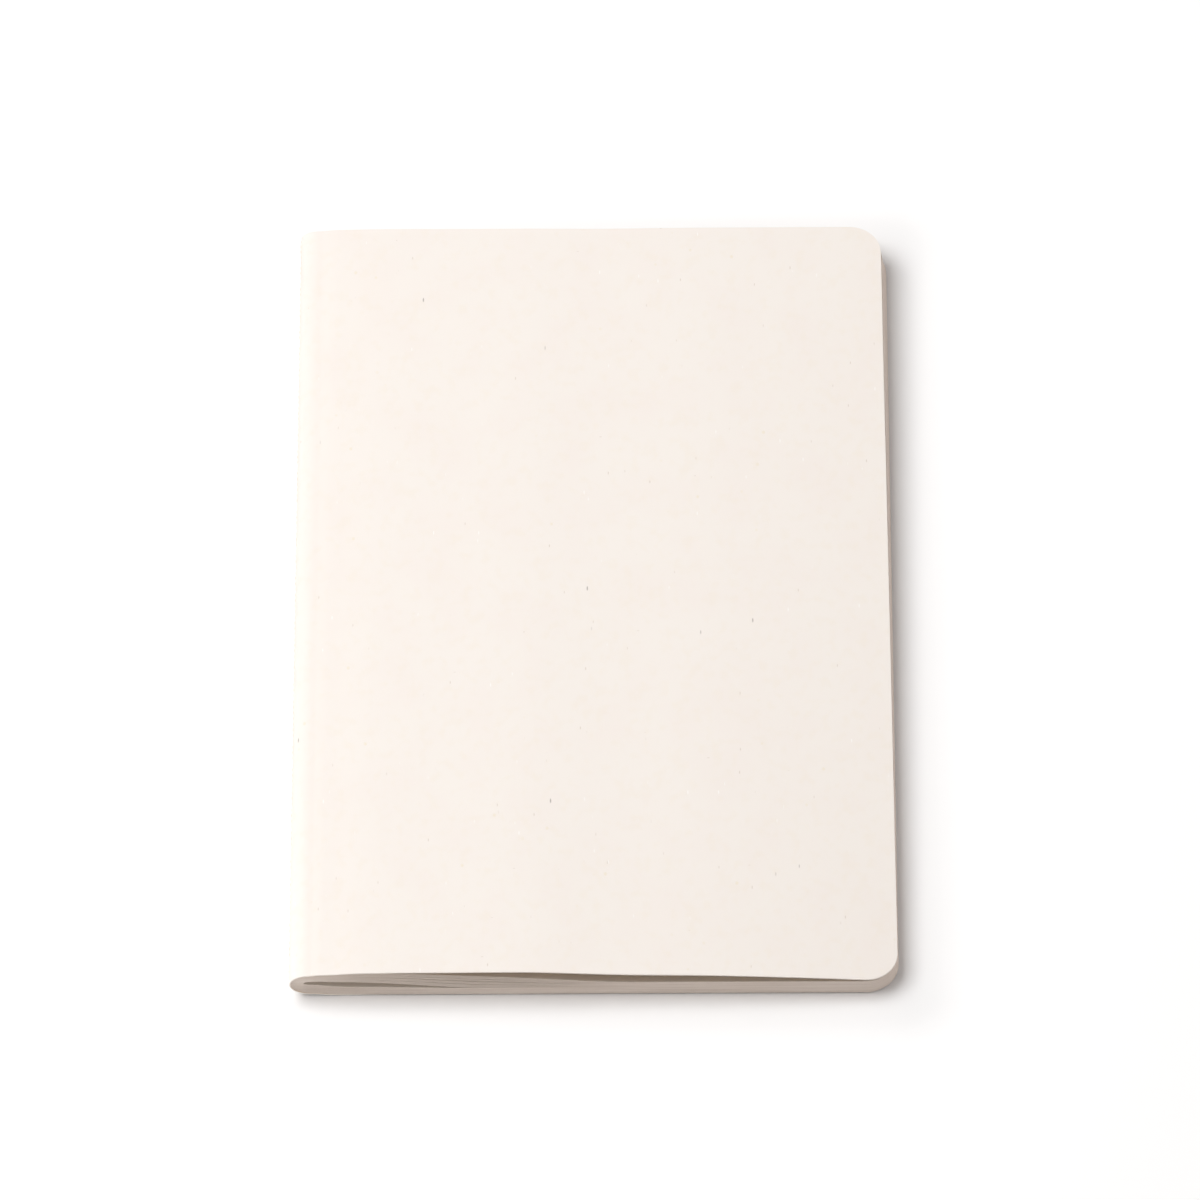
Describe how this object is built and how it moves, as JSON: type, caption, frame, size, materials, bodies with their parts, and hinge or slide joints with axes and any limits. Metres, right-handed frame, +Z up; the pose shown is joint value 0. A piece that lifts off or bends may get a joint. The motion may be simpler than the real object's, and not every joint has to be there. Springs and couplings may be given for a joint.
{
  "type": "soft-cover notebook",
  "caption": "Soft-cover notebook with rounded fore-edge corners: a card cover folded round one sewn section of nested sheets; cover and leaves turn about the fold.",
  "frame": {"origin": "on the table under the middle of the closed notebook", "axes": "+X from the spine to the fore-edge, +Y from the tail to the head, +Z up out of the front cover"},
  "size_m": [0.14, 0.21, 0.0102],
  "materials": {
    "cover_card": "uncoated ivory recycled card, matt, with faint fibres and specks",
    "page_paper": "uncoated off-white writing paper, matt, cut edges",
    "sewing_thread": "pale natural cotton thread"
  },
  "bodies": {
    "back_cover": {"back_cover": "cover_card"},
    "sewn_fold": {"cover_spine": "cover_card", "sheet_01_fold": "page_paper", "sheet_02_fold": "page_paper", "sheet_03_fold": "page_paper", "sheet_04_fold": "page_paper", "sheet_05_fold": "page_paper", "sheet_06_fold": "page_paper", "sheet_07_fold": "page_paper", "sheet_08_fold": "page_paper", "sheet_09_fold": "page_paper", "sheet_10_fold": "page_paper", "sheet_11_fold": "page_paper", "sheet_12_fold": "page_paper", "sheet_13_fold": "page_paper", "sheet_14_fold": "page_paper", "sheet_15_fold": "page_paper", "sheet_16_fold": "page_paper", "needle_thread": "sewing_thread", "bobbin_thread": "sewing_thread"},
    "front_cover": {"front_cover": "cover_card"},
    "front_leaf_01": {"sheet_01_front_leaf": "page_paper"},
    "back_leaf_01": {"sheet_01_back_leaf": "page_paper"},
    "front_leaf_02": {"sheet_02_front_leaf": "page_paper"},
    "back_leaf_02": {"sheet_02_back_leaf": "page_paper"},
    "front_leaf_03": {"sheet_03_front_leaf": "page_paper"},
    "back_leaf_03": {"sheet_03_back_leaf": "page_paper"},
    "front_leaf_04": {"sheet_04_front_leaf": "page_paper"},
    "back_leaf_04": {"sheet_04_back_leaf": "page_paper"},
    "front_leaf_05": {"sheet_05_front_leaf": "page_paper"},
    "back_leaf_05": {"sheet_05_back_leaf": "page_paper"},
    "front_leaf_06": {"sheet_06_front_leaf": "page_paper"},
    "back_leaf_06": {"sheet_06_back_leaf": "page_paper"},
    "front_leaf_07": {"sheet_07_front_leaf": "page_paper"},
    "back_leaf_07": {"sheet_07_back_leaf": "page_paper"},
    "front_leaf_08": {"sheet_08_front_leaf": "page_paper"},
    "back_leaf_08": {"sheet_08_back_leaf": "page_paper"},
    "front_leaf_09": {"sheet_09_front_leaf": "page_paper"},
    "back_leaf_09": {"sheet_09_back_leaf": "page_paper"},
    "front_leaf_10": {"sheet_10_front_leaf": "page_paper"},
    "back_leaf_10": {"sheet_10_back_leaf": "page_paper"},
    "front_leaf_11": {"sheet_11_front_leaf": "page_paper"},
    "back_leaf_11": {"sheet_11_back_leaf": "page_paper"},
    "front_leaf_12": {"sheet_12_front_leaf": "page_paper"},
    "back_leaf_12": {"sheet_12_back_leaf": "page_paper"},
    "front_leaf_13": {"sheet_13_front_leaf": "page_paper"},
    "back_leaf_13": {"sheet_13_back_leaf": "page_paper"},
    "front_leaf_14": {"sheet_14_front_leaf": "page_paper"},
    "back_leaf_14": {"sheet_14_back_leaf": "page_paper"},
    "front_leaf_15": {"sheet_15_front_leaf": "page_paper"},
    "back_leaf_15": {"sheet_15_back_leaf": "page_paper"},
    "front_leaf_16": {"sheet_16_front_leaf": "page_paper"},
    "back_leaf_16": {"sheet_16_back_leaf": "page_paper"}
  },
  "joints": [
    {"name": "spine_turns", "type": "hinge", "parent": "back_cover", "child": "sewn_fold", "pos_m": [-0.06594, 0, 0.00527], "axis": [0, -1, 0], "range_deg": [0, 90]},
    {"name": "front_cover_opens", "type": "hinge", "parent": "sewn_fold", "child": "front_cover", "pos_m": [-0.06594, 0, 0.00527], "axis": [0, -1, 0], "range_deg": [0, 90], "deforming": ["cover_spine"]},
    {"name": "front_leaf_01_turns", "type": "hinge", "parent": "sewn_fold", "child": "front_leaf_01", "pos_m": [-0.06594, 0, 0.00527], "axis": [0, -1, 0], "range_deg": [0, 88.92], "deforming": ["sheet_01_fold"]},
    {"name": "back_leaf_01_turns", "type": "hinge", "parent": "sewn_fold", "child": "back_leaf_01", "pos_m": [-0.06594, 0, 0.00527], "axis": [0, -1, 0], "range_deg": [-88.92, 0]},
    {"name": "front_leaf_02_turns", "type": "hinge", "parent": "sewn_fold", "child": "front_leaf_02", "pos_m": [-0.06594, 0, 0.00527], "axis": [0, -1, 0], "range_deg": [0, 88.66], "deforming": ["sheet_02_fold"]},
    {"name": "back_leaf_02_turns", "type": "hinge", "parent": "sewn_fold", "child": "back_leaf_02", "pos_m": [-0.06594, 0, 0.00527], "axis": [0, -1, 0], "range_deg": [-88.66, 0]},
    {"name": "front_leaf_03_turns", "type": "hinge", "parent": "sewn_fold", "child": "front_leaf_03", "pos_m": [-0.06594, 0, 0.00527], "axis": [0, -1, 0], "range_deg": [0, 88.18], "deforming": ["sheet_03_fold"]},
    {"name": "back_leaf_03_turns", "type": "hinge", "parent": "sewn_fold", "child": "back_leaf_03", "pos_m": [-0.06594, 0, 0.00527], "axis": [0, -1, 0], "range_deg": [-88.18, 0]},
    {"name": "front_leaf_04_turns", "type": "hinge", "parent": "sewn_fold", "child": "front_leaf_04", "pos_m": [-0.06594, 0, 0.00527], "axis": [0, -1, 0], "range_deg": [0, 87.57], "deforming": ["sheet_04_fold"]},
    {"name": "back_leaf_04_turns", "type": "hinge", "parent": "sewn_fold", "child": "back_leaf_04", "pos_m": [-0.06594, 0, 0.00527], "axis": [0, -1, 0], "range_deg": [-87.57, 0]},
    {"name": "front_leaf_05_turns", "type": "hinge", "parent": "sewn_fold", "child": "front_leaf_05", "pos_m": [-0.06594, 0, 0.00527], "axis": [0, -1, 0], "range_deg": [0, 86.84], "deforming": ["sheet_05_fold"]},
    {"name": "back_leaf_05_turns", "type": "hinge", "parent": "sewn_fold", "child": "back_leaf_05", "pos_m": [-0.06594, 0, 0.00527], "axis": [0, -1, 0], "range_deg": [-86.84, 0]},
    {"name": "front_leaf_06_turns", "type": "hinge", "parent": "sewn_fold", "child": "front_leaf_06", "pos_m": [-0.06594, 0, 0.00527], "axis": [0, -1, 0], "range_deg": [0, 86.01], "deforming": ["sheet_06_fold"]},
    {"name": "back_leaf_06_turns", "type": "hinge", "parent": "sewn_fold", "child": "back_leaf_06", "pos_m": [-0.06594, 0, 0.00527], "axis": [0, -1, 0], "range_deg": [-86.01, 0]},
    {"name": "front_leaf_07_turns", "type": "hinge", "parent": "sewn_fold", "child": "front_leaf_07", "pos_m": [-0.06594, 0, 0.00527], "axis": [0, -1, 0], "range_deg": [0, 85.09], "deforming": ["sheet_07_fold"]},
    {"name": "back_leaf_07_turns", "type": "hinge", "parent": "sewn_fold", "child": "back_leaf_07", "pos_m": [-0.06594, 0, 0.00527], "axis": [0, -1, 0], "range_deg": [-85.09, 0]},
    {"name": "front_leaf_08_turns", "type": "hinge", "parent": "sewn_fold", "child": "front_leaf_08", "pos_m": [-0.06594, 0, 0.00527], "axis": [0, -1, 0], "range_deg": [0, 84.1], "deforming": ["sheet_08_fold"]},
    {"name": "back_leaf_08_turns", "type": "hinge", "parent": "sewn_fold", "child": "back_leaf_08", "pos_m": [-0.06594, 0, 0.00527], "axis": [0, -1, 0], "range_deg": [-84.1, 0]},
    {"name": "front_leaf_09_turns", "type": "hinge", "parent": "sewn_fold", "child": "front_leaf_09", "pos_m": [-0.06594, 0, 0.00527], "axis": [0, -1, 0], "range_deg": [0, 83.03], "deforming": ["sheet_09_fold"]},
    {"name": "back_leaf_09_turns", "type": "hinge", "parent": "sewn_fold", "child": "back_leaf_09", "pos_m": [-0.06594, 0, 0.00527], "axis": [0, -1, 0], "range_deg": [-83.03, 0]},
    {"name": "front_leaf_10_turns", "type": "hinge", "parent": "sewn_fold", "child": "front_leaf_10", "pos_m": [-0.06594, 0, 0.00527], "axis": [0, -1, 0], "range_deg": [0, 81.89], "deforming": ["sheet_10_fold"]},
    {"name": "back_leaf_10_turns", "type": "hinge", "parent": "sewn_fold", "child": "back_leaf_10", "pos_m": [-0.06594, 0, 0.00527], "axis": [0, -1, 0], "range_deg": [-81.89, 0]},
    {"name": "front_leaf_11_turns", "type": "hinge", "parent": "sewn_fold", "child": "front_leaf_11", "pos_m": [-0.06594, 0, 0.00527], "axis": [0, -1, 0], "range_deg": [0, 80.69], "deforming": ["sheet_11_fold"]},
    {"name": "back_leaf_11_turns", "type": "hinge", "parent": "sewn_fold", "child": "back_leaf_11", "pos_m": [-0.06594, 0, 0.00527], "axis": [0, -1, 0], "range_deg": [-80.69, 0]},
    {"name": "front_leaf_12_turns", "type": "hinge", "parent": "sewn_fold", "child": "front_leaf_12", "pos_m": [-0.06594, 0, 0.00527], "axis": [0, -1, 0], "range_deg": [0, 79.42], "deforming": ["sheet_12_fold"]},
    {"name": "back_leaf_12_turns", "type": "hinge", "parent": "sewn_fold", "child": "back_leaf_12", "pos_m": [-0.06594, 0, 0.00527], "axis": [0, -1, 0], "range_deg": [-79.42, 0]},
    {"name": "front_leaf_13_turns", "type": "hinge", "parent": "sewn_fold", "child": "front_leaf_13", "pos_m": [-0.06594, 0, 0.00527], "axis": [0, -1, 0], "range_deg": [0, 78.1], "deforming": ["sheet_13_fold"]},
    {"name": "back_leaf_13_turns", "type": "hinge", "parent": "sewn_fold", "child": "back_leaf_13", "pos_m": [-0.06594, 0, 0.00527], "axis": [0, -1, 0], "range_deg": [-78.1, 0]},
    {"name": "front_leaf_14_turns", "type": "hinge", "parent": "sewn_fold", "child": "front_leaf_14", "pos_m": [-0.06594, 0, 0.00527], "axis": [0, -1, 0], "range_deg": [0, 76.72], "deforming": ["sheet_14_fold"]},
    {"name": "back_leaf_14_turns", "type": "hinge", "parent": "sewn_fold", "child": "back_leaf_14", "pos_m": [-0.06594, 0, 0.00527], "axis": [0, -1, 0], "range_deg": [-76.72, 0]},
    {"name": "front_leaf_15_turns", "type": "hinge", "parent": "sewn_fold", "child": "front_leaf_15", "pos_m": [-0.06594, 0, 0.00527], "axis": [0, -1, 0], "range_deg": [0, 75.28], "deforming": ["sheet_15_fold"]},
    {"name": "back_leaf_15_turns", "type": "hinge", "parent": "sewn_fold", "child": "back_leaf_15", "pos_m": [-0.06594, 0, 0.00527], "axis": [0, -1, 0], "range_deg": [-75.28, 0]},
    {"name": "front_leaf_16_turns", "type": "hinge", "parent": "sewn_fold", "child": "front_leaf_16", "pos_m": [-0.06594, 0, 0.00527], "axis": [0, -1, 0], "range_deg": [0, 73.8], "deforming": ["sheet_16_fold"]},
    {"name": "back_leaf_16_turns", "type": "hinge", "parent": "sewn_fold", "child": "back_leaf_16", "pos_m": [-0.06594, 0, 0.00527], "axis": [0, -1, 0], "range_deg": [-73.8, 0]}
  ],
  "couplings": [
    {"joint": "spine_turns", "follows": "front_cover_opens", "ratio": 1},
    {"joint": "front_leaf_01_turns", "follows": "front_cover_opens", "ratio": 0.988},
    {"joint": "back_leaf_01_turns", "follows": "front_cover_opens", "ratio": -0.988},
    {"joint": "front_leaf_02_turns", "follows": "front_cover_opens", "ratio": 0.9851},
    {"joint": "back_leaf_02_turns", "follows": "front_cover_opens", "ratio": -0.9851},
    {"joint": "front_leaf_03_turns", "follows": "front_cover_opens", "ratio": 0.9798},
    {"joint": "back_leaf_03_turns", "follows": "front_cover_opens", "ratio": -0.9798},
    {"joint": "front_leaf_04_turns", "follows": "front_cover_opens", "ratio": 0.973},
    {"joint": "back_leaf_04_turns", "follows": "front_cover_opens", "ratio": -0.973},
    {"joint": "front_leaf_05_turns", "follows": "front_cover_opens", "ratio": 0.9649},
    {"joint": "back_leaf_05_turns", "follows": "front_cover_opens", "ratio": -0.9649},
    {"joint": "front_leaf_06_turns", "follows": "front_cover_opens", "ratio": 0.9557},
    {"joint": "back_leaf_06_turns", "follows": "front_cover_opens", "ratio": -0.9557},
    {"joint": "front_leaf_07_turns", "follows": "front_cover_opens", "ratio": 0.9455},
    {"joint": "back_leaf_07_turns", "follows": "front_cover_opens", "ratio": -0.9455},
    {"joint": "front_leaf_08_turns", "follows": "front_cover_opens", "ratio": 0.9344},
    {"joint": "back_leaf_08_turns", "follows": "front_cover_opens", "ratio": -0.9344},
    {"joint": "front_leaf_09_turns", "follows": "front_cover_opens", "ratio": 0.9226},
    {"joint": "back_leaf_09_turns", "follows": "front_cover_opens", "ratio": -0.9226},
    {"joint": "front_leaf_10_turns", "follows": "front_cover_opens", "ratio": 0.9099},
    {"joint": "back_leaf_10_turns", "follows": "front_cover_opens", "ratio": -0.9099},
    {"joint": "front_leaf_11_turns", "follows": "front_cover_opens", "ratio": 0.8966},
    {"joint": "back_leaf_11_turns", "follows": "front_cover_opens", "ratio": -0.8966},
    {"joint": "front_leaf_12_turns", "follows": "front_cover_opens", "ratio": 0.8825},
    {"joint": "back_leaf_12_turns", "follows": "front_cover_opens", "ratio": -0.8825},
    {"joint": "front_leaf_13_turns", "follows": "front_cover_opens", "ratio": 0.8678},
    {"joint": "back_leaf_13_turns", "follows": "front_cover_opens", "ratio": -0.8678},
    {"joint": "front_leaf_14_turns", "follows": "front_cover_opens", "ratio": 0.8525},
    {"joint": "back_leaf_14_turns", "follows": "front_cover_opens", "ratio": -0.8525},
    {"joint": "front_leaf_15_turns", "follows": "front_cover_opens", "ratio": 0.8365},
    {"joint": "back_leaf_15_turns", "follows": "front_cover_opens", "ratio": -0.8365},
    {"joint": "front_leaf_16_turns", "follows": "front_cover_opens", "ratio": 0.82},
    {"joint": "back_leaf_16_turns", "follows": "front_cover_opens", "ratio": -0.82}
  ]
}
